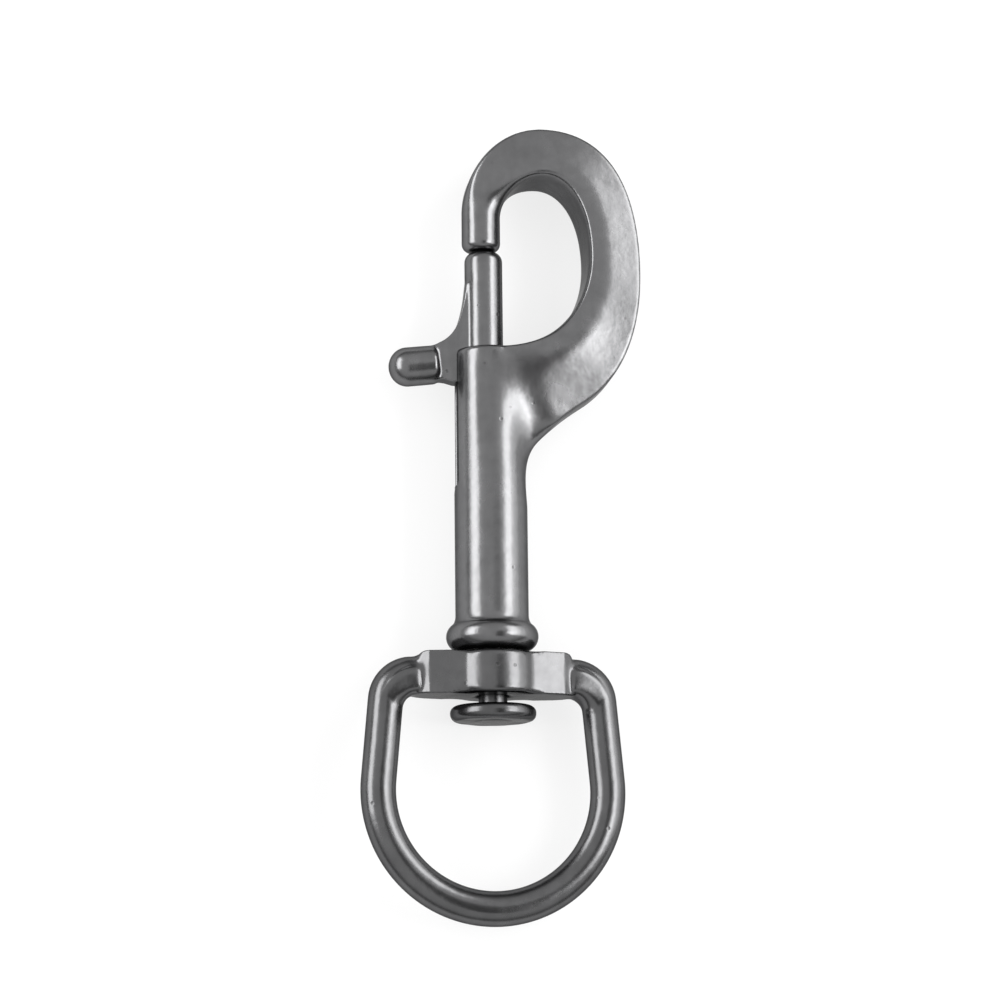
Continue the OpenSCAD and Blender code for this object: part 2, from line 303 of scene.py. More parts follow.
def section(
    inside: np.ndarray,
    outside: np.ndarray,
    half: float,
    square: Point,
    crown: float = 0.5,
    taper: float = 0.0,
    knee: float = 0.3,
    count: int = 150,
) -> np.ndarray:
    """Ring round one station of a casting, with its points evenly spaced.

    Args:
        inside: Point of the inner contour.
        outside: Point of the outer contour.
        half: Half thickness at the crown.
        square: Squareness of the inner and the outer side, where 2 is round.
        crown: Share of the width, from the inside, at which it is thickest.
        taper: Slope of the facet that falls to the outside, as thickness lost over its width.
        knee: Share of that width over which the facet bends down from the crown.
        count: Number of points.

    Returns:
        The ring's points.
    """
    share = 1.0 - np.linspace(0.0, 1.0, 361) ** 3
    fall = np.where(share < knee, share**2 / (2.0 * knee), share - knee / 2.0)
    outer_rise = (1.0 - taper * fall) * (1.0 - share ** square[1]) ** (1.0 / square[1])
    inner_rise = (1.0 - share ** square[0]) ** (1.0 / square[0])
    across = np.concatenate([crown + (1.0 - crown) * share, (crown * (1.0 - share))[-2::-1]])
    depth = half * np.concatenate([outer_rise, inner_rise[-2::-1]])
    across = np.concatenate([across, across[-2::-1]])
    depth = np.concatenate([depth, -depth[-2::-1]])
    width = float(np.linalg.norm(outside - inside))
    walk = np.concatenate([[0.0], np.cumsum(np.hypot(np.diff(across) * width, np.diff(depth)))])
    even = np.linspace(0.0, walk[-1], count, endpoint=False)
    across, depth = np.interp(even, walk, across), np.interp(even, walk, depth)
    return np.column_stack([inside + np.outer(across, outside - inside), depth])


def place(piece: bpy.types.Object, matrix: Matrix) -> None:
    """Moves a piece's mesh by a matrix in millimetres and keeps its object at the origin."""
    piece.data.transform(Matrix.Scale(MM, 4) @ matrix @ Matrix.Scale(1.0 / MM, 4))


def bake(piece: bpy.types.Object) -> None:
    """Makes the evaluated mesh the piece's own and removes its modifiers."""
    shape = piece.evaluated_get(bpy.context.evaluated_depsgraph_get())
    mesh = bpy.data.meshes.new_from_object(shape)
    piece.modifiers.clear()
    old = piece.data
    piece.data = mesh
    bpy.data.meshes.remove(old)
    mesh.name = piece.name


def drop(piece: bpy.types.Object) -> None:
    """Deletes a piece that was only needed to shape another."""
    mesh = piece.data
    bpy.data.objects.remove(piece)
    bpy.data.meshes.remove(mesh)


def combine(piece: bpy.types.Object, other: bpy.types.Object, way: Cut) -> None:
    """Combines a piece with another and deletes the other.

    Args:
        piece: The piece that is changed.
        other: The closed skin that it is combined with.
        way: How they are combined.
    """
    step = piece.modifiers.new("combine", "BOOLEAN")
    step.operation = way.value
    step.solver = "EXACT"
    step.object = other
    bake(piece)
    drop(other)


def tree_of(piece: bpy.types.Object) -> BVHTree:
    """Search tree over a piece's surface."""
    return BVHTree.FromPolygons(
        [v.co.copy() for v in piece.data.vertices], [tuple(f.vertices) for f in piece.data.polygons]
    )


def positions(piece: bpy.types.Object) -> np.ndarray:
    """Vertex places of a piece in metres."""
    flat = np.empty(len(piece.data.vertices) * 3)
    piece.data.vertices.foreach_get("co", flat)
    return flat.reshape(-1, 3)


def set_positions(piece: bpy.types.Object, places: np.ndarray) -> None:
    """Writes vertex places in metres to a piece."""
    piece.data.vertices.foreach_set("co", places.reshape(-1))
    piece.data.update()


@dataclass
class Casting:
    """Fuses overlapping skins into one cast surface with soft fillets where they meet."""

    voxel: float
    fillet_reach: float
    fillet_spread: float
    polish_rounds: int = 4
    pull: float = 0.5
    win_back: float = -0.52
    crisp_fade: float = 2.0
    crisp_above: float = 1000.0
    crisp: list[BVHTree] = field(default_factory=list)

    def cast(self, name: str, solid: bpy.types.Object, skins: list[BVHTree]) -> bpy.types.Object:
        """Rebuilds a solid as an even mesh, seats it on its true skins and rounds its creases.

        Args:
            name: Name of the finished piece.
            solid: Closed union of the skins.
            skins: Search trees of the skins that meet in it.

        Returns:
            The finished piece.
        """
        target = bpy.data.objects.new(name + "_form", solid.data.copy())
        bpy.context.scene.collection.objects.link(target)
        solid.name = name
        step = solid.modifiers.new("even_mesh", "REMESH")
        step.mode = "VOXEL"
        voxel = self.voxel * 1.0
        step.voxel_size = voxel * MM
        bake(solid)
        self._seat(solid, target)
        drop(target)
        weights = self._crease_weights(solid, skins)
        rounds = math.ceil(2.0 * (self.fillet_spread / voxel) ** 2)
        self._relax(solid, weights, rounds, (self.pull,))
        self._relax(solid, np.ones(len(weights)), self.polish_rounds, (self.pull, self.win_back))
        solid.data.shade_smooth()
        return solid

    def _seat(self, piece: bpy.types.Object, target: bpy.types.Object) -> None:
        """Moves each vertex to the nearest place on the target."""
        step = piece.modifiers.new("seat", "SHRINKWRAP")
        step.wrap_method = "NEAREST_SURFACEPOINT"
        step.target = target
        bake(piece)

    def _crease_weights(self, piece: bpy.types.Object, skins: list[BVHTree]) -> np.ndarray:
        """Share of rounding at each vertex: full in a crease, none by a bore, slot or mouth.

        Args:
            piece: The piece to be rounded.
            skins: Search trees of the skins that meet in it.

        Returns:
            One weight a vertex, 1 in a crease and 0 away from it.
        """
        reach = self.fillet_reach * MM
        weights = np.zeros(len(piece.data.vertices))
        clear = np.ones(len(weights))
        for i, vertex in enumerate(piece.data.vertices):
            near = sorted(tree.find_nearest(vertex.co)[3] for tree in skins)
            weights[i] = 1.0 - near[1] / reach
            for tree in self.crisp:
                clear[i] = min(clear[i], tree.find_nearest(vertex.co)[3] / MM)
        below = self.crisp_above - positions(piece)[:, 1] / MM
        return smooth_step(weights) * smooth_step(below / self.crisp_fade) * smooth_step(clear)

    def _relax(
        self, piece: bpy.types.Object, weights: np.ndarray, rounds: int, moves: Sequence[float]
    ) -> None:
        """Moves vertices towards the middle of their neighbours.

        Args:
            piece: The piece to smooth.
            weights: Share of the move at each vertex.
            rounds: Number of passes.
            moves: Shares of the way to that middle in each pass, negative to win back volume.
        """
        mesh = piece.data
        ends = np.empty(len(mesh.edges) * 2, np.int64)
        mesh.edges.foreach_get("vertices", ends)
        a, b = ends.reshape(-1, 2).T
        count = len(mesh.vertices)
        degree = np.maximum(np.bincount(a, minlength=count) + np.bincount(b, minlength=count), 1)
        places = positions(piece)
        for _ in range(rounds):
            for share in moves:
                middle = np.column_stack(
                    [
                        np.bincount(a, places[b, k], count) + np.bincount(b, places[a, k], count)
                        for k in range(3)
                    ]
                )
                middle /= degree[:, None]
                places += share * weights[:, None] * (middle - places)
        set_positions(piece, places)


def connect(
    tree: bpy.types.NodeTree, *links: tuple[bpy.types.Node, str, bpy.types.Node, str | int]
) -> None:
    """Links nodes, each link given as a node, its output, the next node and its input."""
    for source, output, target, socket in links:
        tree.links.new(source.outputs[output], target.inputs[socket])


@dataclass(frozen=True)
class MetalFinish:
    """Polished or drawn metal with a worn, faintly streaked surface."""

    name: str
    tone: float
    warmth: float
    roughness: float
    edge_tint: float
    streak: float
    pits: float
    ripple: float
    contrast: float = 0.28
    clean: float = 0.85
    hazed: float = 1.25

    def material(self) -> bpy.types.Material:
        """Builds the material.

        Returns:
            The finished material.
        """
        made = bpy.data.materials.new(self.name)
        made.use_nodes = True
        tree = made.node_tree
        tree.nodes.clear()
        out = tree.nodes.new("ShaderNodeOutputMaterial")
        shader = tree.nodes.new("ShaderNodeBsdfPrincipled")
        shader.inputs["Metallic"].default_value = 1.0
        shader.inputs["Specular Tint"].default_value = (self.edge_tint,) * 3 + (1.0,)
        place_on = tree.nodes.new("ShaderNodeTexCoord")
        wear = tree.nodes.new("ShaderNodeGroup")
        wear.node_tree = surface_wear_group()
        wear.inputs["Streak"].default_value = self.streak
        wear.inputs["Pits"].default_value = self.pits
        wear.inputs["Ripple"].default_value = self.ripple
        colour = tree.nodes.new("ShaderNodeMix")
        colour.data_type = "RGBA"
        dark, light = self.tone * (1.0 - self.contrast), self.tone * (1.0 + self.contrast)
        colour.inputs["A"].default_value = (dark, dark, dark * self.warmth, 1.0)
        colour.inputs["B"].default_value = (light, light, light * self.warmth, 1.0)
        rough = tree.nodes.new("ShaderNodeMapRange")
        rough.inputs["To Min"].default_value = self.roughness * self.clean
        rough.inputs["To Max"].default_value = self.roughness * self.hazed
        bump = tree.nodes.new("ShaderNodeBump")
        bump.inputs["Strength"].default_value = 1.0
        bump.inputs["Distance"].default_value = 1.0
        connect(
            tree,
            (place_on, "Object", wear, "Place"),
            (wear, "Tone", colour, "Factor"),
            (colour, "Result", shader, "Base Color"),
            (wear, "Haze", rough, "Value"),
            (rough, "Result", shader, "Roughness"),
            (wear, "Height", bump, "Height"),
            (bump, "Normal", shader, "Normal"),
            (shader, "BSDF", out, "Surface"),
        )
        return made


@dataclass(frozen=True)
class BoardFinish:
    """Plain matt paint on a board of the studio."""

    name: str
    tone: float
    roughness: float = 0.9
    gloss: float = 0.5

    def material(self) -> bpy.types.Material:
        """Builds the material.

        Returns:
            The finished material.
        """
        made = bpy.data.materials.new(self.name)
        made.use_nodes = True
        shader = made.node_tree.nodes["Principled BSDF"]
        shader.inputs["Base Color"].default_value = (self.tone,) * 3 + (1.0,)
        shader.inputs["Roughness"].default_value = self.roughness
        shader.inputs["Specular IOR Level"].default_value = self.gloss
        return made


@dataclass(frozen=True)
class FloorFinish(BoardFinish):
    """Matt pale floor that the camera, metal and glass see as nearly white."""

    name: str = "pale_board"
    tone: float = 0.93
    gloss: float = 0.0
    glow: float = 0.75

    def material(self) -> bpy.types.Material:
        """Builds the material.

        Returns:
            The finished material.
        """
        made = super().material()
        tree = made.node_tree
        shader, out = tree.nodes["Principled BSDF"], tree.nodes["Material Output"]
        ray = tree.nodes.new("ShaderNodeLightPath")
        direct, seen = tree.nodes.new("ShaderNodeMath"), tree.nodes.new("ShaderNodeMath")
        direct.operation = seen.operation = "ADD"
        seen.use_clamp = True
        share = tree.nodes.new("ShaderNodeMath")
        share.operation = "MULTIPLY"
        share.inputs[1].default_value = self.glow
        white = tree.nodes.new("ShaderNodeEmission")
        white.inputs["Strength"].default_value = 1.0
        blend = tree.nodes.new("ShaderNodeMixShader")
        connect(
            tree,
            (ray, "Is Camera Ray", direct, 0),
            (ray, "Is Glossy Ray", direct, 1),
            (direct, "Value", seen, 0),
            (ray, "Is Transmission Ray", seen, 1),
            (seen, "Value", share, 0),
            (share, "Value", blend, "Fac"),
            (shader, "BSDF", blend, 1),
            (white, "Emission", blend, 2),
            (blend, "Shader", out, "Surface"),
        )
        return made


WEAR_GROUP = "surface_wear"
# Noise and cells per metre of surface, from the broadest mark to the finest.
PATCHES, CLOUD, CELLS, DAPPLE, HAIR, GRAIN = 160.0, 220.0, 420.0, 650.0, 900.0, 2600.0
# Metres that each mark lifts the surface by at full strength.
RIPPLE_LIFT, GRAIN_LIFT, LINE_LIFT, PIT_LIFT = 0.00005, 0.0000012, 0.0000025, -0.00003


def surface_wear_group() -> bpy.types.NodeTree:
    """Group for the marks of casting, polishing and handling, built once.

    Returns:
        The node group, with Tone, Haze and Height that change over the surface.
    """
    if WEAR_GROUP in bpy.data.node_groups:
        return bpy.data.node_groups[WEAR_GROUP]
    tree = bpy.data.node_groups.new(WEAR_GROUP, "ShaderNodeTree")
    tree.interface.new_socket("Place", in_out="INPUT", socket_type="NodeSocketVector")
    for name, start in (("Streak", 0.3), ("Pits", 0.5), ("Ripple", 0.5)):
        tree.interface.new_socket(name, in_out="INPUT", socket_type="NodeSocketFloat").default_value = start
    for name in ("Tone", "Haze", "Height"):
        tree.interface.new_socket(name, in_out="OUTPUT", socket_type="NodeSocketFloat")
    inside = tree.nodes.new("NodeGroupInput")
    outside = tree.nodes.new("NodeGroupOutput")

    def noise_node(scale: float, detail: float, stretch: Point = (1.0, 1.0, 1.0)) -> bpy.types.NodeSocket:
        """Noise at a scale per metre, stretched by axis."""
        mapping = tree.nodes.new("ShaderNodeMapping")
        mapping.inputs["Scale"].default_value = stretch
        tree.links.new(inside.outputs["Place"], mapping.inputs["Vector"])
        node = tree.nodes.new("ShaderNodeTexNoise")
        node.inputs["Scale"].default_value = scale
        node.inputs["Detail"].default_value = detail
        tree.links.new(mapping.outputs["Vector"], node.inputs["Vector"])
        return node.outputs["Fac"]

    def math_node(kind: str, *values: float | bpy.types.NodeSocket) -> bpy.types.NodeSocket:
        """Sum, product or other operation on values and sockets."""
        node = tree.nodes.new("ShaderNodeMath")
        node.operation = kind
        for socket, value in zip(node.inputs, values):
            if isinstance(value, bpy.types.NodeSocket):
                tree.links.new(value, socket)
            else:
                socket.default_value = value
        return node.outputs["Value"]

    def range_node(value: bpy.types.NodeSocket, kind: str, *ends: float) -> bpy.types.NodeSocket:
        """Value brought from one range to another, each given by its two ends."""
        node = tree.nodes.new("ShaderNodeMapRange")
        node.interpolation_type = kind
        for name, end in zip(("From Min", "From Max", "To Min", "To Max"), ends):
            node.inputs[name].default_value = end
        tree.links.new(value, node.inputs["Value"])
        return node.outputs["Result"]

    cloud = noise_node(CLOUD, 3.0)
    dapple = noise_node(DAPPLE, 2.0)
    grain = noise_node(GRAIN, 2.0)
    hair = noise_node(HAIR, 3.0, (1.0, 0.06, 1.0))
    cells = tree.nodes.new("ShaderNodeTexVoronoi")
    cells.inputs["Scale"].default_value = CELLS
    tree.links.new(inside.outputs["Place"], cells.inputs["Vector"])
    spot = range_node(cells.outputs["Distance"], "SMOOTHSTEP", 0.05, 0.13, 1.0, 0.0)
    rare = range_node(noise_node(PATCHES, 1.0), "LINEAR", 0.5, 0.58, 0.0, 1.0)
    pit = math_node("MULTIPLY", math_node("MULTIPLY", spot, rare), inside.outputs["Pits"])
    streak = math_node("MULTIPLY", math_node("SUBTRACT", hair, 0.5), inside.outputs["Streak"])
    mottle = math_node("MULTIPLY", math_node("ADD", cloud, dapple), 0.5)
    tone = math_node("ADD", mottle, streak)
    tree.links.new(math_node("SUBTRACT", tone, pit), outside.inputs["Tone"])
    haze = math_node("ADD", math_node("ADD", cloud, math_node("MULTIPLY", streak, 0.8)), pit)
    tree.links.new(haze, outside.inputs["Haze"])
    wave = math_node("ADD", cloud, math_node("MULTIPLY", dapple, 0.3))
    strength = inside.outputs["Ripple"]
    ripple = math_node("MULTIPLY", wave, math_node("MULTIPLY", strength, RIPPLE_LIFT))
    fine = math_node("MULTIPLY", grain, math_node("MULTIPLY", strength, GRAIN_LIFT))
    line = math_node("MULTIPLY", streak, LINE_LIFT)
    dent = math_node("MULTIPLY", pit, PIT_LIFT)
    height = math_node("ADD", math_node("ADD", ripple, fine), math_node("ADD", line, dent))
    tree.links.new(height, outside.inputs["Height"])
    return tree


def finish_piece(
    piece: bpy.types.Object, finish: MetalFinish, slot: Slot, body: str, node: str
) -> bpy.types.Object:
    """Dresses a piece and ties it to the frame.

    Args:
        piece: The finished mesh object.
        finish: Its finish.
        slot: The record's material slot; not used.
        body: The CAD body that it rides on.
        node: The CAD node that it stands for.

    Returns:
        The piece.
    """
    piece.data.materials.clear()
    piece.data.materials.append(finish.material())
    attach(piece, body)
    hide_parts(node)
    log.info("%s: %d faces on body %s", piece.name, len(piece.data.polygons), body)
    return piece


@dataclass
class Stations:
    """Sizes that the pieces share, and heights up the barrel that are read from the frame."""

    barrel_r: float = 4.85
    bore_offset: float = 0.7
    rod_r: float = 2.55
    mouth_h: float = 13.8
    jaw_w: float = 11.35
    limb_w: float = 7.0
    bow_w: float = 6.65
    collar_h: float = 3.9
    head_h: float = 2.1
    slot_len: float = 19.1
    bore_floor: float = 4.8
    tip_gap: float = 0.1
    collar_y: float = field(init=False)
    mouth_y: float = field(init=False)
    nose_y: float = field(init=False)
    bow_y: float = field(init=False)
    floor_z: float = field(init=False)
    rod_x: float = field(init=False)

    def __post_init__(self) -> None:
        """Reads the heights from the CAD nodes' boxes."""
        body_low, body_high = corners("hook_body")
        _, bolt_high = corners("bolt")
        self.collar_y = body_low[1]
        self.floor_z = body_low[2]
        self.bow_y = body_high[1] - self.bow_w
        self.nose_y = bolt_high[1] + self.tip_gap
        self.mouth_y = self.nose_y - self.mouth_h
        self.rod_x = -self.bore_offset


@dataclass
class HookBody:
    """Cast body: collar bead, barrel with its bore and slot, shoulder, far limb, bow and nose.

    A name that ends in square is the squareness of one side of a section, where 2 is round. One in
    share is a part of a length, and one in pull is the reach of a curve's handle from its end.
    """

    at: Stations
    finish: MetalFinish
    collar_r: float = 6.1
    rim_r: float = 0.7
    sweep_r: float = 2.0
    sweep_w: float = 0.35
    bore_r: float = 2.65
    slot_w: float = 2.9
    overcut: float = 1.0
    nose_r: float = 2.6
    nose_rim_r: float = 1.1
    nose_set: float = 0.3
    half_t: float = 4.5
    root_t: float = 4.62
    shoulder_len: float = 17.7
    crown: float = 0.2
    taper: float = 0.265
    root_taper: float = 0.6
    root_crown: float = 0.05
    root_square: float = 1.75
    root_in_square: float = 14.0
    root_inset: float = 0.1
    root_share: float = 0.2
    inner_square: float = 7.0
    edge_square: float = 40.0
    edge_haste: float = 1.3
    inner_split: float = 0.62
    ring_steps: int = 28
    bow_share: float = 0.45
    side_in_share: float = 0.54
    side_out_share: float = 0.45
    side_in_pull: float = 6.6
    side_out_pull: float = 9.0
    bow_in_pull: Point = (3.7, 0.6)
    bow_out_pull: Point = (8.2, 0.68)
    turn_stretch: float = 1.1
    root_end: Point = (-3.2, -0.05)
    root_pull: Point = (4.2, 0.45)
    sweep_at: Point = (-7.7, -7.2)
    sweep_slope: Point = (1.7, 1.1)
    sweep_up: float = 2.8
    sweep_down: float = 2.0
    foot_pull: float = 5.0

    def contours(self) -> dict[str, list[Point]]:
        """Cubic curves of the hook's inside and outside, from the shoulder to the nose.

        Returns:
            The curves by name.
        """
        at = self.at
        jaw_in_x = at.rod_x + at.rod_r
        jaw_out_x = jaw_in_x + at.jaw_w
        limb_x = jaw_out_x + at.limb_w
        jaw_h = at.bow_y - at.mouth_y
        nose_x = at.rod_x - self.nose_set
        inner_x, outer_x = nose_x + self.nose_r, nose_x - self.nose_r
        bow_x = jaw_in_x + at.jaw_w * self.bow_share
        top_y = at.bow_y + at.bow_w
        side_in_y = at.mouth_y + jaw_h * self.side_in_share
        side_out_y = at.mouth_y + jaw_h * self.side_out_share
        mouth = np.array([at.barrel_r, at.mouth_y])
        foot = mouth - (0.0, self.shoulder_len)
        sweep, slope = np.array([limb_x, at.mouth_y]) + self.sweep_at, np.array(self.sweep_slope)

        def far(x: float, low: float, high: float, pull: Point) -> list[Point]:
            """Curve from the bow's crown down to the far limb."""
            return [(bow_x, high), (bow_x + pull[0], high), (x, mix(low, high, pull[1])), (x, low)]

        def near(x: float, low: float, high: float) -> list[Point]:
            """Curve from the nose's side up to the bow's crown."""
            rise, reach = mix(low, high, CIRCLE_HANDLE), mix(bow_x, x, CIRCLE_HANDLE)
            return [(x, low), (x, rise), (reach, high), (bow_x, high)]

        return {
            "inner_sweep": [
                (jaw_out_x, side_in_y),
                (jaw_out_x, side_in_y - self.side_in_pull),
                mouth + self.root_pull,
                mouth + self.root_end,
            ],
            "outer_sweep": [
                (limb_x, side_out_y),
                (limb_x, side_out_y - self.side_out_pull),
                sweep + self.sweep_up * slope,
                sweep,
            ],
            "outer_fillet": [sweep, sweep - self.sweep_down * slope, foot + (0.0, self.foot_pull), foot],
            "inner_far": far(jaw_out_x, side_in_y, at.bow_y, self.bow_in_pull),
            "outer_far": far(limb_x, side_out_y, top_y, self.bow_out_pull),
            "inner_near": near(inner_x, at.bow_y - (bow_x - inner_x), at.bow_y),
            "outer_near": near(outer_x, top_y - self.turn_stretch * (bow_x - outer_x), top_y),
        }

    def _stretch(
        self, inner: str, outer: str, first: float = 1.0, last: float = 0.0
    ) -> Iterator[tuple[float, np.ndarray, np.ndarray]]:
        """Stations along one stretch of the hook, from the barrel's side to the nose's.

        Args:
            inner: Name of the curve inside.
            outer: Name of the curve outside.
            first: Share of the inner curve at the start.
            last: Share of the inner curve at the end.

        Yields:
            The share of the stretch, with the inner and the outer point there.
        """
        curves = self.contours()
        for t in np.arange(self.ring_steps) / self.ring_steps:
            yield float(t), cubic(curves[inner], mix(first, last, t)), cubic(curves[outer], 1.0 - t)

    def loft(self) -> bpy.types.Object:
        """Skin of the hook from its root in the barrel to the rounded nose."""
        at, limb = self.at, (self.inner_square, self.edge_square)
        root_x = at.barrel_r * self.root_share
        top = np.array([root_x, at.mouth_y - self.rim_r])
        foot = np.array([root_x, at.mouth_y - self.shoulder_len])
        root = (self.root_in_square, self.root_square)
        rings = [section(top, foot, self.root_t - self.root_inset, root, self.root_crown)]
        for t, inner, outer in self._stretch("inner_sweep", "outer_fillet", 1.0, self.inner_split):
            e = ease(t)
            edge = 1.0 / mix(1.0 / root[1], 1.0 / limb[1], ease(self.edge_haste * t))
            half, crown = mix(self.root_t, self.half_t, e), mix(self.root_crown, self.crown, e)
            square = (mix(root[0], limb[0], e), edge)
            rings.append(section(inner, outer, half, square, crown, self.root_taper))
        for t, inner, outer in self._stretch("inner_sweep", "outer_sweep", self.inner_split):
            taper = mix(self.root_taper, self.taper, ease(t))
            rings.append(section(inner, outer, self.half_t, limb, self.crown, taper))
        for _, inner, outer in self._stretch("inner_far", "outer_far"):
            rings.append(section(inner, outer, self.half_t, limb, self.crown, self.taper))
        for t, inner, outer in self._stretch("inner_near", "outer_near"):
            e = ease(t)
            half, crown = mix(self.half_t, self.nose_r, e), mix(self.crown, 0.5, e)
            square = (mix(limb[0], ROUND, e), mix(limb[1], ROUND, math.sqrt(e)))
            rings.append(section(inner, outer, half, square, crown, self.taper * (1.0 - e)))
        nose_x, rim = at.rod_x - self.nose_set, self.nose_rim_r
        for r, y in arc((self.nose_r - rim, at.nose_y + rim), rim, 0.0, -90.0, 9):
            right, left = np.array([nose_x + r, y]), np.array([nose_x - r, y])
            rings.append(section(right, left, r, (ROUND, ROUND)))
        return skin("hook_loft", np.array(rings))

    def barrel(self) -> bpy.types.Object:
        """Turned form of the barrel with its rounded mouth, sweep and collar bead."""
        at, bead_r = self.at, self.at.collar_h / 2.0
        bead_x = self.collar_r - bead_r
        foot_x = at.barrel_r + self.sweep_w
        rise = math.sqrt(bead_r**2 - (foot_x - bead_x) ** 2)
        foot_y = at.collar_y + bead_r + rise
        lean = math.degrees(math.acos((self.sweep_r - self.sweep_w) / self.sweep_r))
        top = math.degrees(math.asin(rise / bead_r))
        sweep_y = foot_y + self.sweep_r * math.sin(math.radians(lean))
        rim_x, rim_y = at.barrel_r - self.rim_r, at.mouth_y - self.rim_r
        profile = [(POLE_R, at.collar_y), (bead_x, at.collar_y)]
        profile += arc((bead_x, at.collar_y + bead_r), bead_r, -88.0, top, 22)
        profile += arc((at.barrel_r + self.sweep_r, sweep_y), self.sweep_r, 178.0 + lean, 180.0, 8)
        profile += wall(at.barrel_r, sweep_y, rim_y, 0.4, 60)
        profile += arc((rim_x, rim_y), self.rim_r, 0.0, 90.0, 8) + [(POLE_R, at.mouth_y)]
        return revolve("barrel", profile, steps=144)

    def bore(self) -> bpy.types.Object:
        """What the drill takes out for rod and spring."""
        at = self.at
        low, high = at.collar_y + at.bore_floor, at.mouth_y + self.overcut
        return pin("bore", low, high, self.bore_r, at.rod_x, 96)

    def slot(self) -> bpy.types.Object:
        """What the cutter takes out of the barrel's wall for the bolt's web."""
        at, half = self.at, self.slot_w / 2.0
        high = at.mouth_y + self.overcut
        outline = arc((0.0, at.mouth_y - at.slot_len + half), half, 180.0, 360.0, 24)
        outline += [(half, high), (-half, high)]
        rings = [[(x, y, z) for z, y in outline] for x in (at.rod_x, -at.barrel_r - self.overcut)]
        return skin("slot", np.array(rings))

    def build(self) -> bpy.types.Object:
        """Casts the body and cuts its bore and slot.

        Returns:
            The finished piece.
        """
        solid, loft = self.barrel(), self.loft()
        skins = [tree_of(solid), tree_of(loft)]
        bore, slot = self.bore(), self.slot()
        crisp = [tree_of(bore), tree_of(slot)]
        combine(solid, loft, Cut.JOIN)
        combine(solid, bore, Cut.TAKE_OFF)
        combine(solid, slot, Cut.TAKE_OFF)
        below_mouth = self.at.mouth_y - 0.5
        form = Casting(voxel=0.23, fillet_reach=4.0, fillet_spread=2.8, crisp_above=below_mouth, crisp=crisp)
        piece = form.cast("cast_body", solid, skins)
        return finish_piece(piece, self.finish, Slot.BODY, "hook", "hook_body")


@dataclass
class SpringBolt:
    """Sliding bolt: round rod, web through the slot and thumb knob."""

    at: Stations
    finish: MetalFinish
    tip_r: float = 1.4
    web_half: float = 1.3
    web_drop: float = 4.5
    web_rise: float = 0.35
    flare_h: float = 8.6
    flare_share: float = 0.7
    flare_pull: float = 0.5
    knob_bite: float = 1.0
    knob_pull: Point = (2.2, 0.6)
    knob_r: float = 2.625
    knob_rim_r: float = 0.6
    dome_share: float = 0.95
    knob_reach: float = 13.6
    knob_len: float = 6.5
    knob_tilt: float = 6.0

    def rod(self) -> bpy.types.Object:
        """Turned rod with both ends rounded."""
        at = self.at
        low, high = corners("bolt")[0][1], at.nose_y - at.tip_gap
        return revolve("rod", rounded_bar(low, high, at.rod_r, self.tip_r, 10, 0.4, 40), at.rod_x, 96)

    def web(self) -> bpy.types.Object:
        """Flat web with its concave flare from the knob up the rod."""
        at = self.at
        low = at.mouth_y - self.web_drop
        root_x, bite = self.knob_len - self.knob_reach, self.knob_bite
        knob_top = low + 2.0 * self.knob_r
        top = knob_top + self.flare_h
        left = at.rod_x - at.rod_r
        flare = [
            (left + 0.02, top),
            (left - self.flare_pull, top - self.flare_h * self.flare_share),
            (root_x + self.knob_pull[0], knob_top + self.knob_pull[1]),
            (root_x - bite, knob_top - 0.3),
        ]
        outline = [tuple(cubic(flare, t)) for t in np.linspace(0.0, 1.0, 40)]
        outline += [(root_x - bite, low + self.web_rise), (root_x + bite, low + self.web_rise)]
        outline += [(-at.barrel_r, low), (at.rod_x, low), (at.rod_x, top)]
        return extrude("web", np.array(outline), self.web_half)

    def knob(self) -> bpy.types.Object:
        """Round stub with a domed end, lying across the barrel."""
        r, rim = self.knob_r, self.knob_rim_r
        dome = r * self.dome_share
        centre = self.knob_len - dome
        profile = [(POLE_R, 0.0)] + arc((r - rim, rim), rim, -90.0, 0.0, 8)
        profile += [(r, y) for y in np.linspace(rim + 0.3, centre, 8)]
        for across, up in arc((0.0, 0.0), 1.0, 4.0, 90.0, 23):
            profile.append((max(r * across, POLE_R), centre + dome * up))
        piece = revolve("knob", profile, steps=96)
        centre_y = self.at.mouth_y - self.web_drop + r
        turn = Matrix.Rotation(math.radians(90.0 + self.knob_tilt), 4, "Z")
        place(piece, Matrix.Translation((self.knob_len - self.knob_reach, centre_y, 0.0)) @ turn)
        return piece

    def build(self) -> bpy.types.Object:
        """Casts rod, web and knob as one.

        Returns:
            The finished piece.
        """
        solid, web, knob = self.rod(), self.web(), self.knob()
        skins = [tree_of(solid), tree_of(web), tree_of(knob)]
        combine(solid, web, Cut.JOIN)
        combine(solid, knob, Cut.JOIN)
        form = Casting(voxel=0.13, fillet_reach=0.9, fillet_spread=0.5)
        piece = form.cast("spring_bolt", solid, skins)
        return finish_piece(piece, self.finish, Slot.BOLT, "bolt", "bolt")


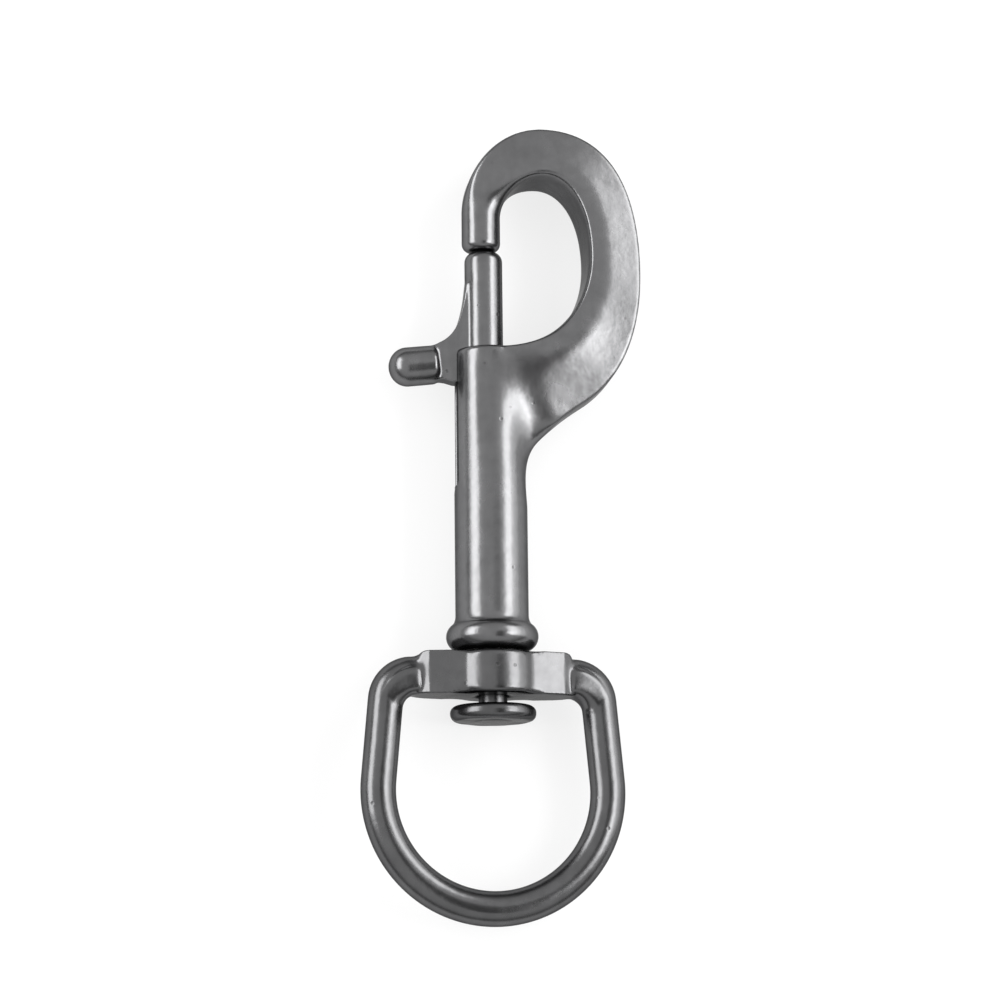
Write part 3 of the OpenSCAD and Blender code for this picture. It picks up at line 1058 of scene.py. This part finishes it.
@dataclass
class SwivelEye:
    """Cast eye: hub on the rivet, faceted lugs and the round wire bow."""

    at: Stations
    finish: MetalFinish
    inner_r: float = 13.0
    wire_r: float = 2.32
    lean: float = 5.2
    corner_r: float = 3.6
    swing: float = 4.5
    hub_r: float = 6.1
    hub_h: float = 5.65
    rim_r: float = 0.7
    gap: float = 0.3
    bore_r: float = 1.98
    lug_reach: float = 10.6
    lug_step: float = 1.6
    lug_tip_z: float = 3.1
    lug_end_share: float = 0.85
    lug_root: Point = (0.72, 0.693)
    lug_corner_r: float = 1.4
    lug_fillet_r: float = 1.9
    lug_fillet_w: float = 1.7
    lug_fillet_turn: float = 12.0

    def bend(self) -> np.ndarray:
        """Centre of the right shoulder's bend."""
        mid, lean = self.inner_r + self.wire_r, math.radians(self.lean)
        bend_y = self.at.collar_y - self.gap - self.hub_h / 2.0 - self.corner_r
        limb = (bend_y - self.inner_r) / math.cos(lean) + (self.corner_r - mid) * math.tan(lean)
        return np.array([(mid - self.corner_r) * math.cos(lean) - limb * math.sin(lean), bend_y])

    def wire_path(self) -> list[tuple[np.ndarray, float]]:
        """Middle line of the wire, each place with the outward direction in degrees."""
        mid, side = self.inner_r + self.wire_r, 180.0 - self.lean
        bend_x, bend_y = self.bend()

        def stop(x: float, y: float, r: float, a: float) -> tuple[np.ndarray, float]:
            """Place on a bend."""
            return np.array([x, y]) + r * heading(a), a

        path = [(np.array([1.0 - self.hub_r, bend_y + self.corner_r]), 90.0)]
        path += [stop(-bend_x, bend_y, self.corner_r, a) for a in np.linspace(90.0, side, 16)]
        first, last = path[-1][0], stop(0.0, self.inner_r, mid, side)[0]
        path += [(mix(first, last, t), side) for t in np.linspace(0.0, 1.0, 22)[1:-1]]
        mirrored = [(np.array([-p[0], p[1]]), 180.0 - a) for p, a in path]
        path += [stop(0.0, self.inner_r, mid, a) for a in np.linspace(side, 360.0 + self.lean, 90)]
        return path + mirrored[::-1]

    def lug_fillet(self, name: str, side: float) -> bpy.types.Object:
        """Fillet from a lug's underside into the limb.

        Args:
            name: Name of the skin.
            side: 1 for the right lug and -1 for the left one.

        Returns:
            The linked object.
        """
        wire_r, corner = self.wire_r, self.lug_fillet_r
        hub_y = self.at.collar_y - self.gap - self.hub_h
        end = heading(self.lean)
        limb_in = float(self.bend() @ end) + self.corner_r - wire_r
        mid_y = hub_y - corner + 0.06
        mid = np.array([(limb_in - corner - mid_y * end[1]) / end[0], mid_y])
        rings = []
        for i, a in enumerate(np.linspace(self.lean - self.lug_fillet_turn, 90.0, 28)):
            grown, out = ease(i / 27.0), heading(a)
            near = mid + (corner + (0.1 if i == 0 else 0.0)) * out
            half = mix(wire_r * 0.95, self.lug_tip_z * 0.9, grown)
            square = (mix(ROUND, 4.0, grown), 4.0)
            ring = section(near, near + self.lug_fillet_w * wire_r * out, half, square, count=72)
            rings.append(ring * np.array([side, 1.0, 1.0]))
        return skin(name, np.array(rings))

    def wire(self) -> bpy.types.Object:
        """Round wire swept along its middle line."""
        rings = []
        for middle, a in self.wire_path():
            out = heading(a)
            ring = []
            for b in np.linspace(0.0, 2.0 * math.pi, 64, endpoint=False):
                x, y = middle + self.wire_r * math.cos(b) * out
                ring.append((x, y, self.wire_r * math.sin(b)))
            rings.append(ring)
        return skin("wire", np.array(rings))

    def hub(self) -> bpy.types.Object:
        """Turned hub with rounded rims."""
        high = self.at.collar_y - self.gap
        profile = rounded_bar(high - self.hub_h, high, self.hub_r, self.rim_r, 8, 0.3, 10)
        return revolve("hub", profile, steps=128)

    def lugs(self) -> bpy.types.Object:
        """Faceted lugs, seen from above a flat that falls back in two steps from hub to wire."""
        high = self.at.collar_y - self.gap - 0.02
        low = high - self.hub_h + 0.04
        side = [
            (self.lug_reach, self.wire_r * self.lug_end_share),
            (self.lug_reach - self.lug_step, self.lug_tip_z),
            (self.hub_r * self.lug_root[0], self.hub_r * self.lug_root[1]),
        ]
        half = side[::-1] + [(x, -z) for x, z in side]
        whole = half + [(-x, z) for x, z in half[::-1]]
        rings = [[(x, y, z) for x, z in whole] for y in (low, high)]
        piece = skin("lugs", np.array(rings))
        reach, r = self.lug_reach, self.lug_corner_r
        front = [(-reach - 1.0, low - 1.0), (reach + 1.0, low - 1.0)]
        front += arc((reach - r, high - r), r, 0.0, 90.0, 8)
        front += arc((-reach + r, high - r), r, 90.0, 180.0, 8)
        combine(piece, extrude("lug_front", np.array(front), self.hub_r), Cut.KEEP_COMMON)
        return piece

    def build(self) -> bpy.types.Object:
        """Casts hub, lugs and wire as one and bores the hub.

        Returns:
            The finished piece.
        """
        solid = self.hub()
        added = [self.lugs(), self.wire()]
        added += [self.lug_fillet("fillet_left", -1.0), self.lug_fillet("fillet_right", 1.0)]
        skins = [tree_of(part) for part in [solid] + added[:2]]
        for part in added:
            combine(solid, part, Cut.JOIN)
        low, high = self.at.collar_y - self.hub_h - 2.0, self.at.collar_y + 1.0
        combine(solid, pin("hub_bore", low, high, self.bore_r), Cut.TAKE_OFF)
        form = Casting(voxel=0.17, fillet_reach=1.3, fillet_spread=0.75)
        piece = form.cast("strap_eye", solid, skins)
        place(piece, Matrix.Rotation(math.radians(self.swing), 4, "Y"))
        return finish_piece(piece, self.finish, Slot.EYE, "eye", "swivel_eye")


@dataclass
class Rivet:
    """Headed rivet that holds the eye to the barrel, with its upset end in the bore."""

    at: Stations
    finish: MetalFinish
    head_r: float = 5.7
    shank_r: float = 1.9
    upset_r: float = 2.6
    upset_sink: float = 0.3
    rim_share: float = 0.45
    pole_r: float = 0.02
    dent: float = 0.05
    crease: float = 50.0

    def hammer(self, piece: bpy.types.Object, low_y: float, head_top: float, rim: float) -> None:
        """Leaves the head a little uneven.

        Args:
            piece: The rivet.
            low_y: Height of the head's face.
            head_top: Height of the head's back.
            rim: Radius of its rounded rim.
        """
        for vertex in piece.data.vertices:
            x, y, z = vertex.co / MM
            if y < head_top - 0.1 and math.hypot(x, z) > self.shank_r + 0.5:
                lump = noise.noise(Vector((x * 0.45, y * 0.9, z * 0.45)))
                shrink = 1.0 - self.dent * (0.5 + 0.5 * lump) * 0.25
                vertex.co.x *= shrink
                vertex.co.z *= shrink
                if y < low_y + rim:
                    vertex.co.y += self.dent * MM * (1.0 + lump)

    def build(self) -> bpy.types.Object:
        """Turns the rivet, joins its upset end and hammers its head.

        Returns:
            The finished piece.
        """
        low, high = corners("swivel_rivet")
        low_y, head_top = low[1], low[1] + self.at.head_h
        bore_y = self.at.collar_y + self.at.bore_floor
        r, e, shank = self.head_r, self.at.head_h * self.rim_share, self.shank_r
        end_y = bore_y + self.upset_sink
        profile = [(self.pole_r, low_y)] + [(x, low_y) for x in np.linspace(0.4, r - e - 0.2, 14)]
        profile += arc((r - e, low_y + e), e, -90.0, 0.0, 12)
        profile += arc((r - e, head_top - e), e, 0.0, 90.0, 12)
        profile += [(x, head_top) for x in np.linspace(r - e - 0.3, shank + 0.2, 6)]
        profile += [(shank, head_top + 0.1), (shank, end_y), (self.pole_r, end_y)]
        piece = revolve("hub_rivet", profile, steps=128)
        upset = pin("upset", bore_y, high[1], self.upset_r, self.at.rod_x, pole_r=self.pole_r)
        combine(piece, upset, Cut.JOIN)
        piece.data.shade_smooth()
        self.hammer(piece, low_y, head_top, e)
        piece.data.set_sharp_from_angle(angle=math.radians(self.crease))
        return finish_piece(piece, self.finish, Slot.RIVET, "hook", "swivel_rivet")


@dataclass
class CoilSpring:
    """Coil spring between the rivet's upset end and the rod."""

    at: Stations
    finish: MetalFinish
    wire_r: float = 0.3
    coil_r: float = 2.0
    coils: int = 12
    travel: float = 13.5

    def tree(self, material: bpy.types.Material) -> bpy.types.NodeTree:
        """Node tree that winds the wire.

        Args:
            material: Material set on the wire.

        Returns:
            The tree, with named inputs for the coil's sizes.
        """
        made = bpy.data.node_groups.new("wind_spring", "GeometryNodeTree")
        made.interface.new_socket("Geometry", in_out="OUTPUT", socket_type="NodeSocketGeometry")
        made.interface.new_socket("Geometry", in_out="INPUT", socket_type="NodeSocketGeometry")
        for name in ("Coil Radius", "Wire Radius", "Height", "Turns"):
            made.interface.new_socket(name, in_out="INPUT", socket_type="NodeSocketFloat")
        made.interface.new_socket("Seat", in_out="INPUT", socket_type="NodeSocketVector")
        inside = made.nodes.new("NodeGroupInput")
        outside = made.nodes.new("NodeGroupOutput")
        spiral = made.nodes.new("GeometryNodeCurveSpiral")
        spiral.inputs["Resolution"].default_value = 40
        wire = made.nodes.new("GeometryNodeCurvePrimitiveCircle")
        wire.inputs["Resolution"].default_value = 16
        sweep = made.nodes.new("GeometryNodeCurveToMesh")
        sweep.inputs["Fill Caps"].default_value = True
        turn = made.nodes.new("GeometryNodeTransform")
        turn.inputs["Rotation"].default_value = (math.radians(-90.0), 0.0, 0.0)
        shade = made.nodes.new("GeometryNodeSetShadeSmooth")
        real = made.nodes.new("GeometryNodeRealizeInstances")
        dress = made.nodes.new("GeometryNodeSetMaterial")
        dress.inputs["Material"].default_value = material
        connect(
            made,
            (inside, "Turns", spiral, "Rotations"),
            (inside, "Coil Radius", spiral, "Start Radius"),
            (inside, "Coil Radius", spiral, "End Radius"),
            (inside, "Height", spiral, "Height"),
            (inside, "Wire Radius", wire, "Radius"),
            (spiral, "Curve", sweep, "Curve"),
            (wire, "Curve", sweep, "Profile Curve"),
            (sweep, "Mesh", turn, "Geometry"),
            (inside, "Seat", turn, "Translation"),
            (turn, "Geometry", shade, "Geometry"),
            (shade, "Geometry", real, "Geometry"),
            (real, "Geometry", dress, "Geometry"),
            (dress, "Geometry", outside, "Geometry"),
        )
        return made

    def build(self) -> bpy.types.Object:
        """Winds the spring and ties it to the hook.

        Returns:
            The finished piece.
        """
        low, high = corners("spring")
        height = high[1] - low[1] - 2.0 * self.wire_r
        piece = new_piece("coil_spring", np.array([low, high, low + 1.0]), [(0, 1, 2)])
        step = piece.modifiers.new("wind", "NODES")
        step.node_group = self.tree(self.finish.material())
        values = {
            "Coil Radius": self.coil_r * MM,
            "Wire Radius": self.wire_r * MM,
            "Height": height * MM,
            "Turns": float(self.coils),
            "Seat": (self.at.rod_x * MM, (low[1] + self.wire_r) * MM, 0.0),
        }
        for item in step.node_group.interface.items_tree:
            if item.in_out == "INPUT" and item.name in values:
                step[item.identifier] = values[item.name]
        bake(piece)
        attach(piece, "hook")
        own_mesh(piece)
        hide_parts("spring")
        log.info("%s: %d faces on body hook", piece.name, len(piece.data.polygons))
        return piece


@dataclass
class Lamp:
    """Soft lamp beside the part, at an angle from overhead and aimed at the part's middle line."""

    name: str
    angle: float
    width: float
    length: float
    forward: float
    radiance: float
    distance: float = 420.0
    spill: float = 0.25

    def build(self, aim: Vector) -> None:
        """Places the lamp.

        Args:
            aim: Point that it faces, in metres.
        """
        light = bpy.data.lights.new(self.name, "AREA")
        light.shape = "RECTANGLE"
        light.size, light.size_y = self.width * MM, self.length * MM
        light.energy = self.radiance * math.pi * light.size * light.size_y
        light.diffuse_factor = self.spill
        holder = bpy.data.objects.new(self.name, light)
        bpy.context.scene.collection.objects.link(holder)
        a = math.radians(self.angle)
        out = Vector((math.sin(a), 0.0, math.cos(a)))
        holder.matrix_world = Matrix.Translation(
            aim + out * self.distance * MM + Vector((0.0, self.forward * MM, 0.0))
        ) @ Matrix.Rotation(a, 4, "Y")


@dataclass
class ShadeCard:
    """Dark card hung over the eye, which only reflections show."""

    left: float = 25.0
    right: float = 185.0
    near: float = -260.0
    far: float = 98.0
    height: float = 420.0
    finish: BoardFinish = BoardFinish("dark_card", 0.02)

    def build(self) -> None:
        """Hangs the card."""
        card = board("shade_card", (self.left, self.near), (self.right, self.far), self.height)
        card.data.materials.append(self.finish.material())
        card.visible_camera = card.visible_diffuse = card.visible_shadow = False


@dataclass
class Studio:
    """Pale floor, soft surroundings, long lamps, a dark card and the camera.

    The camera's focus is its focal length as a multiple of the sensor's width, and the sky's pairs
    are a height, from the horizon at 0 to overhead at 1, and the tone there.
    """

    floor: FloorFinish
    floor_size: float = 1600.0
    pitch: float = 10.75
    yaw: float = 7.7
    roll: float = -0.635
    distance: float = 407.0
    focus: float = 3.06135
    sensor_w: float = 36.0
    aim: Point = (1.225, 51.668, 0.0)
    sky: Sequence[Point] = ((0.0, 0.3), (0.06, 0.2), (0.22, 0.25), (0.4, 0.8), (1.0, 0.95))

    def build_floor(self, height: float) -> None:
        """Lays the floor.

        Args:
            height: Its height in millimetres.
        """
        half = self.floor_size / 2.0
        floor = board("floor", (-half, -half), (half, half), height)
        floor.data.materials.append(self.floor.material())

    def build_world(self) -> None:
        """Surroundings that are light overhead and dim towards the horizon."""
        world = bpy.data.worlds.new("surroundings")
        bpy.context.scene.world = world
        world.use_nodes = True
        tree = world.node_tree
        tree.nodes.clear()
        out = tree.nodes.new("ShaderNodeOutputWorld")
        back = tree.nodes.new("ShaderNodeBackground")
        direction = tree.nodes.new("ShaderNodeTexCoord")
        parts = tree.nodes.new("ShaderNodeSeparateXYZ")
        ramp = tree.nodes.new("ShaderNodeValToRGB")
        while len(ramp.color_ramp.elements) < len(self.sky):
            ramp.color_ramp.elements.new(0.5)
        for element, (position, tone) in zip(ramp.color_ramp.elements, self.sky):
            element.position = position
            element.color = (tone, tone, tone, 1.0)
        connect(
            tree,
            (direction, "Generated", parts, "Vector"),
            (parts, "Z", ramp, "Fac"),
            (ramp, "Color", back, "Color"),
            (back, "Background", out, "Surface"),
        )

    def build_lamps(self) -> None:
        """Hangs a lamp on the left, two on the hook's side and a small one near the eye."""
        for lamp in (
            Lamp("left_lamp", angle=-61.0, width=200.0, length=460.0, forward=130.0, radiance=4.8),
            Lamp("right_lamp", angle=48.0, width=180.0, length=500.0, forward=120.0, radiance=4.8),
            Lamp("right_low_lamp", angle=74.0, width=200.0, length=500.0, forward=120.0, radiance=1.8),
            Lamp("near_right_lamp", angle=38.0, width=120.0, length=90.0, forward=-45.0, radiance=3.2),
        ):
            lamp.build(Vector(self.aim) * MM)

    def build_camera(self) -> None:
        """Sets the camera at the reference view."""
        p, w, r = (math.radians(v) for v in (self.pitch, self.yaw, self.roll))
        back = Vector((-math.sin(w) * math.cos(p), -math.sin(p), math.cos(w) * math.cos(p)))
        flat_right = Vector((0.0, 1.0, 0.0)).cross(back).normalized()
        flat_up = back.cross(flat_right)
        right = flat_right * math.cos(r) + flat_up * math.sin(r)
        up = flat_up * math.cos(r) - flat_right * math.sin(r)
        data = bpy.data.cameras.new("camera")
        data.sensor_width = self.sensor_w
        data.lens = self.focus * self.sensor_w
        data.clip_start, data.clip_end = 0.01, 10.0
        camera = bpy.data.objects.new("camera", data)
        bpy.context.scene.collection.objects.link(camera)
        turn = Matrix((right, up, back)).transposed().to_4x4()
        spot = Vector(self.aim) * MM + back * self.distance * MM
        camera.matrix_world = Matrix.Translation(spot) @ turn
        bpy.context.scene.camera = camera

    def build(self, floor_height: float) -> None:
        """Builds floor, surroundings, lamps, dark card and camera.

        Args:
            floor_height: Height of the floor in millimetres.
        """
        self.build_floor(floor_height)
        self.build_world()
        self.build_lamps()
        ShadeCard().build()
        self.build_camera()
        bpy.context.scene.view_settings.view_transform = "Standard"


def dark_nickel(name: str, tone: float, streak: float = 0.3, pits: float = 0.6) -> MetalFinish:
    """Polished dark nickel plate, as the castings have it.

    Args:
        name: Name of the material.
        tone: Its reflectance.
        streak: Strength of the polishing streaks.
        pits: Strength of the casting's pits.

    Returns:
        The finish.
    """
    return MetalFinish(
        name, tone, warmth=1.02, roughness=0.25, edge_tint=0.35, streak=streak, pits=pits, ripple=1.2
    )


def main() -> None:
    """Builds every piece in order, then the studio."""
    logging.basicConfig(level=logging.INFO, format="%(message)s")
    at = Stations()
    steel = MetalFinish(
        "spring_steel", 0.5, warmth=1.0, roughness=0.28, edge_tint=0.8, streak=0.6, pits=0.1, ripple=0.3
    )
    HookBody(at, dark_nickel("nickel_body", 0.17)).build()
    SpringBolt(at, dark_nickel("nickel_bolt", 0.17, streak=0.5)).build()
    Rivet(at, dark_nickel("nickel_rivet", 0.11, streak=0.2, pits=1.0)).build()
    SwivelEye(at, dark_nickel("nickel_eye", 0.125, pits=0.8)).build()
    CoilSpring(at, steel).build()
    Studio(FloorFinish()).build(at.floor_z)


if __name__ == "__main__":
    main()
